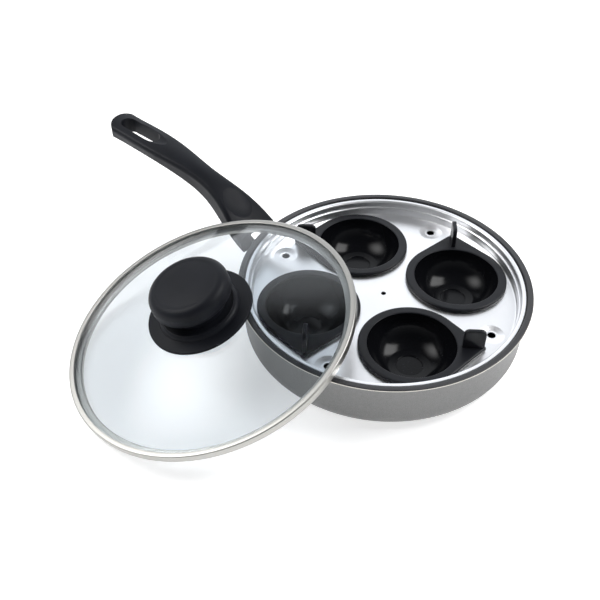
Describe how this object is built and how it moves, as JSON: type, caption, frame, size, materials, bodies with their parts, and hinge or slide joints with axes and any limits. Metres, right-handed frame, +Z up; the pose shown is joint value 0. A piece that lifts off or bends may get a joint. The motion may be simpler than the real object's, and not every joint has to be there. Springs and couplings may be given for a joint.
{
  "type": "egg poacher pan",
  "caption": "Low round pan with a long handle, a lift-out tray of egg cups with finger tabs, and a domed glass lid leaning on its rim.",
  "frame": {"origin": "middle of the pan's flat base, on the table", "axes": "+Z up; the handle points along -X"},
  "size_m": [0.367, 0.3062, 0.0816],
  "materials": {
    "pan_paint": "satin enamel",
    "tray_metal": "polished sheet",
    "cup_coating": "satin non-stick",
    "handle_plastic": "satin moulded",
    "knob_plastic": "satin moulded",
    "bracket_metal": "brushed",
    "rivet_metal": "satin",
    "ring_metal": "polished",
    "lid_pane": "clear",
    "seal_rubber": "matt",
    "screw_metal": "bright",
    "insert_brass": "turned"
  },
  "bodies": {
    "pan": {"pan_shell": "pan_paint", "handle_bracket": "bracket_metal", "bracket_rivets": "rivet_metal", "handle_grip": "handle_plastic", "handle_screw": "screw_metal"},
    "tray": {"poaching_tray": "tray_metal"},
    "cup_right": {"egg_cup_right": "cup_coating"},
    "cup_back": {"egg_cup_back": "cup_coating"},
    "cup_left": {"egg_cup_left": "cup_coating"},
    "cup_front": {"egg_cup_front": "cup_coating"},
    "lid": {"lid_rim": "ring_metal", "lid_rim_seal": "seal_rubber", "lid_glass": "lid_pane", "knob_base": "knob_plastic", "lid_knob": "knob_plastic", "knob_insert": "insert_brass", "lid_gasket": "seal_rubber", "lid_washer": "screw_metal", "lid_screw": "screw_metal"}
  },
  "joints": [
    {"name": "tray_lift", "type": "slide", "parent": "pan", "child": "tray", "axis": [0, 0, 1], "range_m": [0, 0.06]},
    {"name": "cup_right_lift", "type": "slide", "parent": "tray", "child": "cup_right", "axis": [0, 0, 1], "range_m": [0, 0.06]},
    {"name": "cup_back_lift", "type": "slide", "parent": "tray", "child": "cup_back", "axis": [0, 0, 1], "range_m": [0, 0.06]},
    {"name": "cup_left_lift", "type": "slide", "parent": "tray", "child": "cup_left", "axis": [0, 0, 1], "range_m": [0, 0.06]},
    {"name": "cup_front_lift", "type": "slide", "parent": "tray", "child": "cup_front", "axis": [0, 0, 1], "range_m": [0, 0.06]},
    {"name": "lid_lift", "type": "slide", "parent": "cup_left", "child": "lid", "axis": [-0.1601, -0.2268, 0.9607], "range_m": [0, 0.1]}
  ]
}
